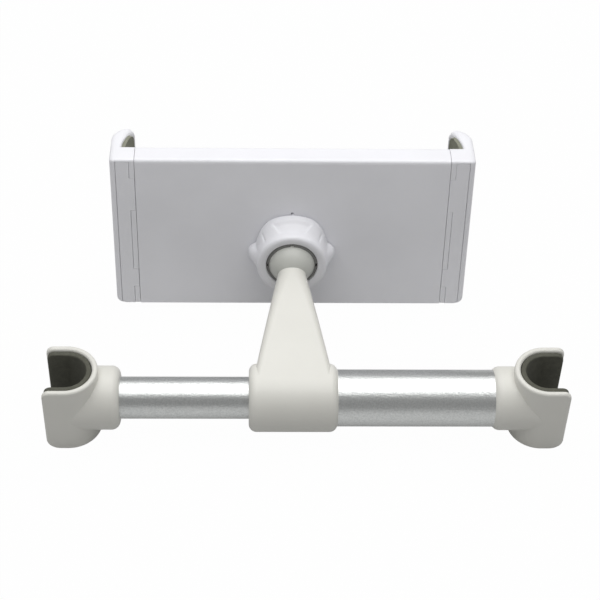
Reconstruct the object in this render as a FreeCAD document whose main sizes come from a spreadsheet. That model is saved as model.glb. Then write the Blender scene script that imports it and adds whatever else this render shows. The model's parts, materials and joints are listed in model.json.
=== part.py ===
import FreeCAD, Part
import os
import re
import Sketcher

# Headrest tablet holder: a telescopic bar with two open hooks for the headrest posts,
# a tapered arm with a ball stud, and a spring-jaw holder locked on the ball by a collar.
# World frame: X along the bar, Y towards the tablet, Z up along the posts,
# origin on the bar's axis half way between the two posts. Millimetres.

SIZES = {
    # Telescopic bar
    "post_spacing": 158.2,
    "outer_od": 19.0,
    "outer_wall": 1.5,
    "bush_wall": 1.0,
    "inner_wall": 1.2,
    "inner_insert": 31.0,
    "tube_seat": 6.0,
    "bush_length": 8.0,
    "plug_length": 8.0,
    "run_gap": 0.05,
    "seat_gap": 0.02,
    # Twist lock inside the bar
    "lock_length": 8.5,
    "lock_gap": 0.6,
    "lock_spigot": 8.0,
    "lock_flange": 1.0,
    "cone_small": 4.2,
    "cone_large": 5.6,
    "sleeve_slot": 1.2,
    # Hub and arm
    "hub_offset": -4.36,
    "hub_width": 29.46,
    "hub_wall": 1.85,
    "hub_edge": 2.6,
    "hub_lip": 3.0,
    "hub_lip_gap": 0.35,
    "arm_reach": 52.03,
    "arm_rise": 13.51,
    "arm_root": 1.7,
    "root_half_width": 13.4,
    "root_inset": 0.15,
    "root_corner": 4.5,
    "neck_half_width": 4.5,
    "neck_half_height": 4.3,
    "neck_corner": 3.9,
    "neck_cover": 1.6,
    # Ball stud
    "ball_radius": 8.5,
    "stem_radius": 2.6,
    "stem_length": 20.0,
    # Hooks for the posts
    "hook_radius": 10.75,
    "hook_lip": 6.96,
    "hook_height": 27.76,
    "hook_shell": 2.0,
    "hook_rim": 0.7,
    "lip_top_round": 1.5,
    "lip_bottom_round": 4.5,
    "liner_thick": 1.9,
    "liner_inset": 0.5,
    "collar_reach": 17.4,
    "collar_wall": 1.15,
    "collar_round": 2.8,
    # Fixing screws
    "screw_radius": 1.5,
    "screw_head_radius": 2.9,
    "screw_head_height": 1.4,
    "screw_bite": 6.0,
    "small_screw_radius": 1.0,
    "small_head_radius": 1.9,
    "small_head_height": 1.2,
    # Holder body
    "lean": 7.24,
    "ball_depth": 6.0,
    "socket_drop": 6.5,
    "body_width": 107.4,
    "body_height": 61.6,
    "body_depth": 8.4,
    "body_wall": 1.8,
    "side_wall": 1.6,
    "body_edge": 1.2,
    "cover_thick": 1.8,
    "cover_gap": 0.1,
    "cover_bevel": 0.4,
    "grip_pad_thick": 1.0,
    "grip_pad_inset": 4.0,
    "grip_pad_corner": 3.0,
    "upper_screw_across": 30.0,
    "lower_screw_across": 38.0,
    "lower_screw_down": 14.0,
    "cover_boss": 2.6,
    # Ball socket and locking collar
    "socket_gap": 0.05,
    "pad_thick": 1.0,
    "pad_angle": 48.0,
    "step_angle": 80.0,
    "socket_radius": 10.4,
    "socket_floor": 1.2,
    "flange_radius": 15.5,
    "flange_thick": 1.2,
    "flange_boss": 1.2,
    "lip_past_centre": 3.3,
    "lip_radius_outer": 8.6,
    "slit_width": 1.2,
    "slit_floor": 1.5,
    "flange_screw_circle": 12.9,
    "boss_radius": 2.2,
    "screw_skin": 0.6,
    "index_hole": 0.4,
    "index_place": 15.4,
    "index_depth": 0.9,
    "collar_gap": 0.3,
    "collar_height": 9.8,
    "collar_base": 15.1,
    "collar_base_height": 2.4,
    "collar_nose": 12.7,
    "collar_rim": 11.7,
    "collar_bevel": 0.8,
    "collar_opening": 8.95,
    "collar_dish": 0.5,
    "scallop_count": 6,
    "scallop_radius": 9.0,
    "scallop_depth": 1.5,
    # Sliding jaws
    "jaw_width": 8.4,
    "jaw_gap": 0.15,
    "lip_depth": 11.9,
    "lip_curl": 7.4,
    "lip_round": 3.2,
    "lip_root_wall": 3.7,
    "lip_tip_wall": 2.1,
    "lip_tip_round": 0.9,
    "lip_tip_inset": 1.0,
    "lip_inner_round": 22.0,
    "jaw_pad_thick": 1.2,
    "jaw_pad_inset": 1.0,
    "jaw_cover_thick": 1.2,
    "jaw_rim": 1.9,
    "notch_depth": 1.7,
    "notch_end": 7.6,
    "notch_low": 21.0,
    "notch_high": 46.0,
    "guide_low": 3.0,
    "guide_width": 5.0,
    "guide_length": 48.0,
    "tongue_thick": 3.6,
    "tongue_gap": 0.5,
    "jaw_root": 3.0,
    "pinion_height": 19.0,
    "pinion_radius": 5.0,
    "pinion_teeth": 10,
    "tooth_tall": 0.75,
    "tooth_deep": 1.05,
    "tooth_backlash": 0.3,
    "tooth_slope": 0.364,
    "flank_out": 0.75,
    "flank_in": 0.24,
    "rack_teeth": 14,
    "rack_back": 2.4,
    "rack_past": 41.0,
    "pinion_pin": 1.5,
    # Jaw springs
    "spring_level": 4.1,
    "spring_radius": 2.0,
    "spring_wire": 0.5,
    "spring_turns": 14,
    "spring_height": 3.0,
    "spring_gap": 0.1,
    "spring_post": 1.1,
    "spring_post_in": 22.0,
    "spring_post_out": 50.0,
    "tab_thick": 1.0,
    "tab_half": 2.2,
}

# Sizes that follow from the outer tube, with the wall that each leaves round it or inside it.
TIES = {
    "inner_od": "(outer_od - 2 * outer_wall - 2 * bush_wall)",
    "hub_radius": "(outer_od / 2 + hub_wall)",
    "root_half_height": "(outer_od / 2 + hub_wall - root_inset)",
    "collar_radius": "(outer_od / 2 + collar_wall)",
}

doc = FreeCAD.newDocument("tablet_holder")
dims = doc.addObject("Spreadsheet::Sheet", "dims")
for row, (alias, size) in enumerate(SIZES.items(), start=1):
    dims.set(f"A{row}", alias)
    dims.set(f"B{row}", str(size))
    dims.setAlias(f"B{row}", alias)
doc.recompute()


def bound(text):
    """An expression on the sheet, written with the bare names of its cells."""
    tied = re.sub(r"[a-z_]+", lambda word: TIES.get(word[0], word[0]), text)
    return re.sub(r"[a-z_]+", lambda word: "dims." + word[0] if word[0] in SIZES else word[0], tied)


def number(text):
    """The value of such an expression, for a sketch's first placing."""
    found = dims.evalExpression(bound(text))
    return float(getattr(found, "Value", found))


# Frames that groups of pieces are modelled in: origin, axis and angle of turn.
PITCH = "atan(arm_rise / arm_reach)"


def holder_frame(across, inward, up):
    """A frame that leans with the holder, from the middle of its back face."""
    depth = f"(ball_depth + {inward})"
    rise = f"(socket_drop + {up})"
    origin = (
        f"hub_offset + {across}",
        f"arm_reach + {depth} * cos(lean) + {rise} * sin(lean)",
        f"arm_rise - {depth} * sin(lean) + {rise} * cos(lean)",
    )
    return origin, (1, 0, 0), "-lean"


FRAMES = {
    "world": (("0", "0", "0"), (1, 0, 0), "0"),
    "arm": (("hub_offset", "0", "0"), (1, 0, 0), PITCH),
    "right_post": (("post_spacing / 2", "0", "0"), (0, 0, 1), "0"),
    "left_post": (("-post_spacing / 2", "0", "0"), (0, 0, 1), "180"),
    "holder": holder_frame("0", "0", "0"),
    "socket": holder_frame("0", "0", "-socket_drop"),
    "pinion": holder_frame("0", "0", "pinion_height"),
    "spring": holder_frame("0", "spring_level", "spring_height"),
}
parts = []


def degrees(text):
    """Angles on the sheet are plain numbers, so a turn is given its unit."""
    return bound(text) if text.startswith("atan") else f"({bound(text)}) * 1 deg"


def in_degrees(text):
    return re.sub(r"(sin|cos|tan)\((\w+)\)", r"\1(\2 * 1 deg)", text)


def begin(label, frame):
    """A sub-part's body, placed in its frame."""
    origin, axis, turn = FRAMES[frame]
    body = doc.addObject("PartDesign::Body", label)
    body.Label = label
    body.AllowCompound = True
    body.Placement = FreeCAD.Placement(FreeCAD.Vector(), FreeCAD.Rotation(FreeCAD.Vector(*axis), 1.0))
    for letter, place in zip("xyz", origin):
        body.setExpression(f"Placement.Base.{letter}", bound(in_degrees(place)))
    body.setExpression("Placement.Rotation.Angle", degrees(turn))
    parts.append(body)
    return body


def sketch_on(body, role, offset):
    plane = next(item for item in body.Origin.OriginFeatures if item.Role == role)
    sketch = body.newObject("Sketcher::SketchObject", "outline")
    sketch.AttachmentSupport = [(plane, "")]
    sketch.MapMode = "FlatFace"
    sketch.setExpression("AttachmentOffset.Base.z", bound(in_degrees(offset)))
    return sketch


def hold_point(sketch, index, corner, place):
    """Tie one end of a curve to its two coordinates."""
    for kind, axis, text in (("DistanceX", -2, place[0]), ("DistanceY", -1, place[1])):
        if text == "0":
            sketch.addConstraint(Sketcher.Constraint("PointOnObject", index, corner, axis))
            continue
        text = in_degrees(text)
        made = sketch.addConstraint(Sketcher.Constraint(kind, -1, 1, index, corner, number(text)))
        sketch.setExpression(f"Constraints[{made}]", bound(text))


def arc_between(start, end, radius, turn):
    """The short arc from start to end, turning left (1) or right (-1)."""
    middle = (start + end) * 0.5
    chord = end - start
    half = chord.Length / 2
    rise = max(radius * radius - half * half, 0.0) ** 0.5
    side = FreeCAD.Vector(-chord.y, chord.x, 0).normalize()
    centre = middle + side * (rise * turn)
    bulge = middle - centre
    if bulge.Length < 1e-6:
        bulge = side * -turn
    top = centre + bulge.normalize() * radius
    return Part.Arc(start, top, end) if turn > 0 else Part.Arc(end, top, start)


def outline(sketch, path):
    """A closed outline: each corner is (x, y), or (x, y, radius, turn) for an arc to the next."""
    spots = [FreeCAD.Vector(number(in_degrees(c[0])), number(in_degrees(c[1])), 0) for c in path]
    first = sketch.GeometryCount
    ends = []
    for step, corner in enumerate(path):
        start = spots[step]
        end = spots[(step + 1) % len(path)]
        if len(corner) == 2:
            sketch.addGeometry(Part.LineSegment(start, end))
            ends.append((1, 2))
            continue
        sketch.addGeometry(arc_between(start, end, number(corner[2]), corner[3]))
        ends.append((1, 2) if corner[3] > 0 else (2, 1))
    for step, corner in enumerate(path):
        index = first + step
        hold_point(sketch, index, ends[step][0], corner)
        after = (step + 1) % len(path)
        sketch.addConstraint(
            Sketcher.Constraint("Coincident", index, ends[step][1], first + after, ends[after][0])
        )
        if len(corner) == 4:
            made = sketch.addConstraint(Sketcher.Constraint("Radius", index, number(corner[2])))
            sketch.setExpression(f"Constraints[{made}]", bound(corner[2]))


def circle(sketch, across, up, radius):
    centre = FreeCAD.Vector(number(across), number(up), 0)
    made = sketch.addGeometry(Part.Circle(centre, FreeCAD.Vector(0, 0, 1), number(radius)))
    hold_point(sketch, made, 3, (across, up))
    size = sketch.addConstraint(Sketcher.Constraint("Radius", made, number(radius)))
    sketch.setExpression(f"Constraints[{size}]", bound(radius))


def draw(body, role, offset, shapes):
    """A sketch of closed paths, and of circles given as (x, y, radius)."""
    sketch = sketch_on(body, role, offset)
    for shape in shapes:
        if isinstance(shape, tuple):
            circle(sketch, *shape)
        else:
            outline(sketch, shape)
    return sketch


PLANES = {"x": ("YZ_Plane", 1), "y": ("XZ_Plane", -1), "z": ("XY_Plane", 1)}


def pad(body, way, low, high, *shapes):
    """Add the outlines as a prism from low to high along an axis."""
    role, sense = PLANES[way]
    offset = low if sense > 0 else f"-({high})"
    feature = body.newObject("PartDesign::Pad", "pad")
    feature.Profile = draw(body, role, offset, shapes)
    feature.setExpression("Length", bound(in_degrees(f"({high}) - ({low})")))
    return feature


def cut(body, way, low, high, *shapes):
    """Remove the outlines as a prism from low to high along an axis."""
    role, sense = PLANES[way]
    offset = high if sense > 0 else f"-({low})"
    feature = body.newObject("PartDesign::Pocket", "pocket")
    feature.Profile = draw(body, role, offset, shapes)
    feature.setExpression("Length", bound(in_degrees(f"({high}) - ({low})")))
    return feature


def turned(body, kind, axis, offset, *shapes):
    """Revolve outlines drawn in the XY plane about the sketch's H_Axis or V_Axis."""
    sketch = draw(body, "XY_Plane", offset, shapes)
    feature = body.newObject(f"PartDesign::{kind}", "turned")
    feature.Profile = sketch
    feature.ReferenceAxis = (sketch, [axis])
    feature.Angle = 360
    return feature


def rectangle(left, low, right, high):
    return [(left, low), (right, low), (right, high), (left, high)]


def rounded(half_width, half_height, corner):
    """A rectangle about the origin with its four corners rounded."""
    flat_x = f"({half_width} - {corner})"
    flat_y = f"({half_height} - {corner})"
    return [
        (f"-{flat_x}", f"-{half_height}"),
        (flat_x, f"-{half_height}", corner, 1),
        (half_width, f"-{flat_y}"),
        (half_width, flat_y, corner, 1),
        (flat_x, half_height),
        (f"-{flat_x}", half_height, corner, 1),
        (f"-{half_width}", flat_y),
        (f"-{half_width}", f"-{flat_y}", corner, 1),
    ]


def edges_where(feature, test):
    """Names of the feature's edges that pass a test on their middle and length."""
    names = []
    for index, edge in enumerate(feature.Shape.Edges, start=1):
        middle = edge.valueAt((edge.FirstParameter + edge.LastParameter) / 2)
        if test(edge, middle):
            names.append(f"Edge{index}")
    return names


def fillet(body, radius, test):
    doc.recompute()
    base = body.Tip
    feature = body.newObject("PartDesign::Fillet", "fillet")
    feature.Base = (base, edges_where(base, test))
    feature.setExpression("Radius", bound(radius))
    doc.recompute()
    return feature


def pattern(body, features, axis_role, count):
    """Repeat features round an axis of the body."""
    doc.recompute()
    made = body.newObject("PartDesign::PolarPattern", "pattern")
    made.Originals = features
    made.Axis = (next(item for item in body.Origin.OriginFeatures if item.Role == axis_role), [""])
    made.Angle = 360
    made.setExpression("Occurrences", bound(count))
    body.Tip = made
    return made


# Telescopic bar
BALL_AT = "sqrt(arm_reach ^ 2 + arm_rise ^ 2)"
NECK_END = f"({BALL_AT} - ball_radius + neck_cover)"
HUB_HALF = "(hub_width / 2)"
TUBE_START = f"(hub_lip - {HUB_HALF})"
TUBE_END = "(post_spacing / 2 - hub_offset - collar_reach + tube_seat)"
OUTER_BORE = "(outer_od / 2 - outer_wall)"
INNER_BORE = "(inner_od / 2 - inner_wall)"
INNER_END = f"(hub_offset - {HUB_HALF} + inner_insert)"


def ball_profile(radius):
    """Half of a disc round the ball's centre, on the neck's axis."""
    return [
        ("0", f"{BALL_AT} - ({radius})", radius, 1),
        (radius, BALL_AT, radius, 1),
        ("0", f"{BALL_AT} + ({radius})"),
    ]


def make_arm():
    """Hub sleeve and tapered arm, one moulding with a cup for the ball at its end."""
    body = begin("arm", "arm")
    turned(body, "Revolution", "H_Axis", "0", [
        (f"-{HUB_HALF}", "0"),
        (HUB_HALF, "0"),
        (HUB_HALF, "hub_radius - hub_edge", "hub_edge", 1),
        (f"{HUB_HALF} - hub_edge", "hub_radius"),
        (f"hub_edge - {HUB_HALF}", "hub_radius", "hub_edge", 1),
        (f"-{HUB_HALF}", "hub_radius - hub_edge"),
    ])
    root = draw(body, "XZ_Plane", "-arm_root", [rounded("root_half_width", "root_half_height", "root_corner")])
    neck = draw(body, "XZ_Plane", f"-{NECK_END}", [rounded("neck_half_width", "neck_half_height", "neck_corner")])
    taper = body.newObject("PartDesign::AdditiveLoft", "taper")
    taper.Profile = root
    taper.Sections = [neck]
    turned(body, "Groove", "V_Axis", "0", ball_profile("(ball_radius + run_gap)"))
    turned(body, "Groove", "V_Axis", "0", rectangle(
        "0", f"{BALL_AT} - stem_length - collar_gap", "(stem_radius + run_gap)", f"{NECK_END} + stem_radius"))
    turned(body, "Groove", "H_Axis", "0", [
        (f"-{HUB_HALF} - hub_lip", "0"),
        (f"{HUB_HALF} + hub_lip", "0"),
        (f"{HUB_HALF} + hub_lip", "outer_od / 2 + seat_gap"),
        (TUBE_START, "outer_od / 2 + seat_gap"),
        (TUBE_START, "inner_od / 2 + hub_lip_gap"),
        (f"-{HUB_HALF} - hub_lip", "inner_od / 2 + hub_lip_gap"),
    ])
    cut(body, "z", "-hub_radius - hub_edge", "-outer_od / 2 + outer_wall", ("0", "0", "small_screw_radius + run_gap"))
    cut(body, "z", "-hub_radius - hub_edge", "small_head_height - hub_radius", ("0", "0", "small_head_radius + run_gap"))


def make_hub_screw():
    body = begin("hub_screw", "arm")
    pad(body, "z", "-hub_radius", "small_head_height - hub_radius", ("0", "0", "small_head_radius"))
    pad(body, "z", "small_head_height - hub_radius", f"-{OUTER_BORE} - run_gap", ("0", "0", "small_screw_radius"))


def make_outer_tube():
    body = begin("outer_tube", "arm")
    turned(body, "Revolution", "H_Axis", "0", rectangle(TUBE_START, OUTER_BORE, TUBE_END, "outer_od / 2"))
    cut(body, "z", "-outer_od", "-stem_radius", ("0", "0", "small_screw_radius + run_gap"))


def make_guide_bush():
    body = begin("guide_bush", "arm")
    turned(body, "Revolution", "H_Axis", "0", rectangle(
        TUBE_START, "inner_od / 2 + run_gap", f"{TUBE_START} + bush_length", f"{OUTER_BORE} - seat_gap"))


def make_inner_tube():
    body = begin("inner_tube", "world")
    turned(body, "Revolution", "H_Axis", "0", rectangle(
        "collar_reach - post_spacing / 2 - tube_seat", INNER_BORE, INNER_END, "inner_od / 2"))


CONE_START = f"({INNER_END} + lock_flange)"
CONE_END = f"({CONE_START} + lock_length + lock_gap)"
CONE_STEP = "((cone_large - cone_small) * lock_gap / 2 / (lock_length + lock_gap))"


def make_lock_cone():
    """Plug in the inner tube's end, with the taper that spreads the lock sleeve."""
    body = begin("lock_cone", "world")
    turned(body, "Revolution", "H_Axis", "0", [
        (f"{INNER_END} - lock_spigot", "0"),
        (CONE_END, "0"),
        (CONE_END, "cone_large"),
        (CONE_START, "cone_small"),
        (CONE_START, "inner_od / 2"),
        (INNER_END, "inner_od / 2"),
        (INNER_END, f"{INNER_BORE} - seat_gap"),
        (f"{INNER_END} - lock_spigot", f"{INNER_BORE} - seat_gap"),
    ])


def make_lock_sleeve():
    """Split sleeve that grips the outer tube's bore."""
    body = begin("lock_sleeve", "world")
    start = f"({CONE_START} + lock_gap / 2)"
    end = f"({CONE_END} - lock_gap / 2)"
    turned(body, "Revolution", "H_Axis", "0", [
        (start, f"cone_small + {CONE_STEP} + run_gap"),
        (end, f"cone_large - {CONE_STEP} + run_gap"),
        (end, f"{OUTER_BORE} - run_gap"),
        (start, f"{OUTER_BORE} - run_gap"),
    ])
    cut(body, "z", "0", "outer_od / 2", rectangle(
        f"{start} - lock_gap", "-sleeve_slot / 2", f"{end} + lock_gap", "sleeve_slot / 2"))


# Hooks: open channels for the posts, on collars that take the tube ends
CAVITY = "(hook_radius - hook_shell)"
LINER_BORE = f"({CAVITY} - liner_thick)"
HOOK_HALF = "(hook_height / 2)"
COLLAR_FLOOR = "(tube_seat - collar_reach)"


def channel(radius, reach):
    """A slot's outline: half a circle towards the hub, open straight outwards."""
    return [
        (reach, f"-{radius}"),
        (reach, radius),
        ("0", radius, radius, 1),
        (f"-{radius}", "0", radius, 1),
        ("0", f"-{radius}"),
    ]


def make_hook(side, tube_od, tube_bore):
    frame = f"{side}_post"
    body = begin(f"{side}_hook", frame)
    pad(body, "z", f"-{HOOK_HALF}", HOOK_HALF, channel("hook_radius", "hook_lip"))
    turned(body, "Revolution", "H_Axis", "0", [
        ("-collar_reach", "0"),
        ("0", "0"),
        ("0", "collar_radius"),
        ("collar_round - collar_reach", "collar_radius", "collar_round", 1),
        ("-collar_reach", "collar_radius - collar_round"),
    ])
    cut(body, "z", f"-{HOOK_HALF}", HOOK_HALF, channel(CAVITY, "hook_lip + hook_shell"))
    turned(body, "Groove", "H_Axis", "0", rectangle(
        "-collar_reach - tube_seat", "0", COLLAR_FLOOR, f"{tube_od} / 2 + seat_gap"))
    turned(body, "Groove", "H_Axis", "0", [
        (f"{COLLAR_FLOOR} - hook_shell", "0"),
        (f"hook_shell - {CAVITY}", "0"),
        (f"hook_shell - {CAVITY}", "screw_head_radius + run_gap"),
        (f"-{CAVITY}", "screw_head_radius + run_gap"),
        (f"-{CAVITY} - screw_head_height", "screw_radius + run_gap"),
        (f"{COLLAR_FLOOR} - hook_shell", "screw_radius + run_gap"),
    ])
    reach = SIZES["hook_lip"]
    half = SIZES["hook_height"] / 2

    def tip_edge(sense):
        def test(edge, middle):
            along = abs(edge.tangentAt(edge.FirstParameter).y) > 0.99
            return along and abs(middle.x - reach) < 0.01 and abs(middle.z - sense * half) < 0.01
        return test

    fillet(body, "lip_bottom_round", tip_edge(-1))
    fillet(body, "lip_top_round", tip_edge(1))

    liner = begin(f"{side}_hook_pad", frame)
    inset = f"({HOOK_HALF} - liner_inset)"
    outer = f"({CAVITY} - seat_gap)"
    end = "hook_lip - liner_inset"
    pad(liner, "z", f"-{inset}", inset, [
        (end, outer),
        ("0", outer, outer, 1),
        (f"-{outer}", "0", outer, 1),
        ("0", f"-{outer}"),
        (end, f"-{outer}"),
        (end, f"-{LINER_BORE}"),
        ("0", f"-{LINER_BORE}", LINER_BORE, -1),
        (f"-{LINER_BORE}", "0", LINER_BORE, -1),
        ("0", LINER_BORE),
        (end, LINER_BORE),
    ])

    plug = begin(f"{side}_tube_plug", frame)
    turned(plug, "Revolution", "H_Axis", "0", rectangle(
        f"{COLLAR_FLOOR} - plug_length", "screw_radius + run_gap", COLLAR_FLOOR, f"{tube_bore} - seat_gap"))

    screw = begin(f"{side}_hook_screw", frame)
    turned(screw, "Revolution", "H_Axis", "0", [
        (f"{COLLAR_FLOOR} - screw_bite", "0"),
        (f"-{CAVITY}", "0"),
        (f"-{CAVITY}", "screw_head_radius"),
        (f"-{CAVITY} - screw_head_height", "screw_radius"),
        (f"{COLLAR_FLOOR} - screw_bite", "screw_radius"),
    ])


# Ball joint
def make_ball_stud():
    body = begin("ball_stud", "arm")
    turned(body, "Revolution", "V_Axis", "0", [
        ("0", f"{BALL_AT} - stem_length"),
        ("stem_radius", f"{BALL_AT} - stem_length"),
        ("stem_radius", f"{BALL_AT} - sqrt(ball_radius ^ 2 - stem_radius ^ 2)", "ball_radius", 1),
        ("ball_radius", BALL_AT, "ball_radius", 1),
        ("0", f"{BALL_AT} + ball_radius"),
    ])


def make_seat_pad():
    """Friction cup between the ball and the socket's floor."""
    body = begin("seat_pad", "socket")
    inner = "(ball_radius + socket_gap)"
    outer = "(ball_radius + pad_thick)"
    turned(body, "Revolution", "V_Axis", "0", [
        ("0", f"{inner} - ball_depth", inner, -1),
        (f"{inner} * sin(pad_angle)", f"{inner} * cos(pad_angle) - ball_depth"),
        (f"{outer} * sin(pad_angle)", f"{outer} * cos(pad_angle) - ball_depth", outer, 1),
        ("0", f"{outer} - ball_depth"),
    ])


FLANGE_LOW = "(cover_thick + flange_boss)"
FLANGE_HIGH = f"({FLANGE_LOW} + flange_thick)"
SCREW_AT = "(flange_screw_circle / sqrt(2))"


def make_ball_socket():
    """Slit collet that holds the ball past its middle, with a flange behind the cover."""
    body = begin("ball_socket", "socket")
    grip = "(ball_radius + socket_gap)"
    bowl = "(ball_radius + pad_thick + socket_gap)"
    floor = f"{bowl} - ball_depth + socket_floor"
    lip = "-ball_depth - lip_past_centre"
    turned(body, "Revolution", "V_Axis", "0", [
        ("0", f"{bowl} - ball_depth"),
        ("0", floor),
        ("socket_radius", floor),
        ("socket_radius", FLANGE_HIGH),
        ("flange_radius", FLANGE_HIGH),
        ("flange_radius", FLANGE_LOW),
        ("socket_radius", FLANGE_LOW),
        ("socket_radius", "-ball_depth"),
        ("lip_radius_outer", lip),
        (f"sqrt({grip} ^ 2 - lip_past_centre ^ 2)", lip, grip, 1),
        (f"{grip} * sin(step_angle)", f"{grip} * cos(step_angle) - ball_depth"),
        (f"{bowl} * sin(step_angle)", f"{bowl} * cos(step_angle) - ball_depth", bowl, 1),
    ])
    far = "flange_radius"
    for path in (
        rectangle(f"-{far}", "-slit_width / 2", far, "slit_width / 2"),
        rectangle("-slit_width / 2", f"-{far}", "slit_width / 2", far),
    ):
        cut(body, "y", f"{lip} - slit_width", "-slit_floor", path)
    hole = cut(body, "y", "0", f"{FLANGE_HIGH} + flange_thick", (SCREW_AT, SCREW_AT, "small_screw_radius + run_gap"))
    pattern(body, [hole], "Y_Axis", "4")


def make_socket_screws():
    body = begin("socket_screws", "socket")
    head = pad(body, "y", FLANGE_HIGH, f"{FLANGE_HIGH} + small_head_height", (SCREW_AT, SCREW_AT, "small_head_radius"))
    shank = pad(body, "y", "screw_skin + run_gap", FLANGE_HIGH, (SCREW_AT, SCREW_AT, "small_screw_radius"))
    pattern(body, [head, shank], "Y_Axis", "4")


def make_locking_collar():
    """Screw collar with scalloped grips, which squeezes the collet on the ball."""
    body = begin("locking_collar", "socket")
    bore = "(socket_radius + collar_gap)"
    turned(body, "Revolution", "V_Axis", "0", [
        (bore, "-collar_gap"),
        (bore, "-ball_depth"),
        ("collar_opening", "collar_dish - collar_height + collar_gap"),
        ("collar_opening", "collar_dish - collar_height"),
        ("collar_rim", "-collar_height"),
        ("collar_nose", "collar_bevel - collar_height"),
        ("collar_base", "-collar_base_height"),
        ("collar_base", "-collar_gap"),
    ])
    scallop = cut(body, "y", "-collar_height - collar_gap", "-collar_base_height", (
        "0", "collar_nose + scallop_radius - scallop_depth", "scallop_radius"))
    pattern(body, [scallop], "Y_Axis", "scallop_count")


# Holder body
BODY_HALF = "(body_width / 2)"
TALL_HALF = "(body_height / 2)"
INSIDE = "(body_depth - body_wall)"
COVER_SCREWS = [
    (f"{sense} * {across}", up)
    for across, up in (("upper_screw_across", "pinion_height"), ("lower_screw_across", "-lower_screw_down"))
    for sense in ("-1", "1")
]


def make_front_cover():
    """Tub with the tablet's rest face, top and bottom walls, pinion pin and spring posts."""
    body = begin("front_cover", "holder")
    inner = f"({TALL_HALF} - side_wall)"
    edge = f"({TALL_HALF} - body_edge)"
    pad(body, "x", f"-{BODY_HALF}", BODY_HALF, [
        ("body_edge", f"-{TALL_HALF}"),
        ("body_depth - body_edge", f"-{TALL_HALF}", "body_edge", 1),
        ("body_depth", f"-{edge}"),
        ("body_depth", edge, "body_edge", 1),
        ("body_depth - body_edge", TALL_HALF),
        ("body_edge", TALL_HALF, "body_edge", 1),
        ("0", edge),
        ("0", inner),
        (INSIDE, inner),
        (INSIDE, f"-{inner}"),
        ("0", f"-{inner}"),
        ("0", f"-{edge}", "body_edge", 1),
    ])
    pad(body, "y", "cover_thick", f"{INSIDE} + run_gap", ("0", "pinion_height", "pinion_pin"))
    pad(body, "y", "cover_thick", f"{INSIDE} + run_gap",
        ("-spring_post_in", "spring_height", "spring_post"), ("spring_post_in", "spring_height", "spring_post"))
    for across, up in COVER_SCREWS:
        cut(body, "y", "cover_thick", "body_depth + run_gap", (across, up, "small_screw_radius + run_gap"))
        cut(body, "y", "body_depth - small_head_height", "body_depth + run_gap", (across, up, "small_head_radius + run_gap"))


def make_back_cover():
    """Flat panel inside the tub's rim, with the socket's hole and the screw bosses."""
    body = begin("back_cover", "holder")
    half = f"({TALL_HALF} - side_wall - cover_gap)"
    plate = pad(body, "y", "0", "cover_thick", rectangle(f"-{BODY_HALF}", f"-{half}", BODY_HALF, half))
    limit = SIZES["body_height"] / 2 - SIZES["side_wall"] - SIZES["cover_gap"]
    fillet(body, "cover_bevel", lambda edge, middle: abs(middle.y) < 0.01 and abs(abs(middle.z) - limit) < 0.01)
    for across, up in COVER_SCREWS:
        pad(body, "y", "cover_thick", INSIDE, (across, up, "cover_boss"))
        cut(body, "y", "screw_skin", f"{INSIDE} + run_gap", (across, up, "small_screw_radius + run_gap"))
    for across in (SCREW_AT, f"-{SCREW_AT}"):
        for up in (SCREW_AT, f"-{SCREW_AT}"):
            place = f"({up}) - socket_drop"
            pad(body, "y", "cover_thick", FLANGE_LOW, (across, place, "boss_radius"))
            cut(body, "y", "screw_skin", f"{FLANGE_LOW} + run_gap", (across, place, "small_screw_radius + run_gap"))
    cut(body, "y", "-cover_gap", f"{FLANGE_LOW} + run_gap", ("0", "-socket_drop", "socket_radius + cover_gap"))
    cut(body, "y", "-cover_gap", "index_depth", ("0", "index_place - socket_drop", "index_hole"))


def make_cover_screws():
    body = begin("cover_screws", "holder")
    for across, up in COVER_SCREWS:
        pad(body, "y", "body_depth - small_head_height", "body_depth", (across, up, "small_head_radius"))
        pad(body, "y", "screw_skin + run_gap", "body_depth - small_head_height", (across, up, "small_screw_radius"))


def make_grip_pad():
    body = begin("front_grip_pad", "holder")
    pad(body, "y", "body_depth", "body_depth + grip_pad_thick", rounded(
        f"({BODY_HALF} - grip_pad_inset)", f"({TALL_HALF} - grip_pad_inset)", "grip_pad_corner"))


# Rack and pinion that keep the jaws level with each other
ARM_LOW = "(cover_thick + tongue_gap)"
ARM_HIGH = f"({ARM_LOW} + tongue_thick)"
TOOTH_PITCH = "(2 * pi * pinion_radius / pinion_teeth)"


def make_pinion():
    body = begin("pinion", "pinion")
    pad(body, "y", ARM_LOW, ARM_HIGH, ("0", "0", "pinion_radius + tooth_tall"))
    gap = f"({TOOTH_PITCH} / 4 + tooth_backlash / 2)"
    deep = f"({gap} - tooth_deep * flank_in)"
    wide = f"({gap} + 2 * tooth_tall * flank_out)"
    space = cut(body, "y", ARM_LOW, ARM_HIGH, [
        (f"-{deep}", "pinion_radius - tooth_deep"),
        (deep, "pinion_radius - tooth_deep"),
        (gap, "pinion_radius"),
        (wide, "pinion_radius + 2 * tooth_tall"),
        (f"-{wide}", "pinion_radius + 2 * tooth_tall"),
        (f"-{gap}", "pinion_radius"),
    ])
    pattern(body, [space], "Y_Axis", "pinion_teeth")
    cut(body, "y", ARM_LOW, ARM_HIGH, ("0", "0", "pinion_pin + run_gap"))


# Jaws: lips that hold the tablet's edges, with a rack arm and a guide arm inside the body
JAW_IN = f"({BODY_HALF} + jaw_gap)"
JAW_OUT = f"({JAW_IN} + jaw_width)"
LIP_TIP = "(body_depth + lip_depth)"


def sided(sense, path):
    """A path drawn for the right-hand jaw, turned over for the left one."""
    return [(f"{sense} * ({c[0]})", c[1]) + ((c[2], c[3] * sense) if len(c) == 4 else ()) for c in path]


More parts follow.
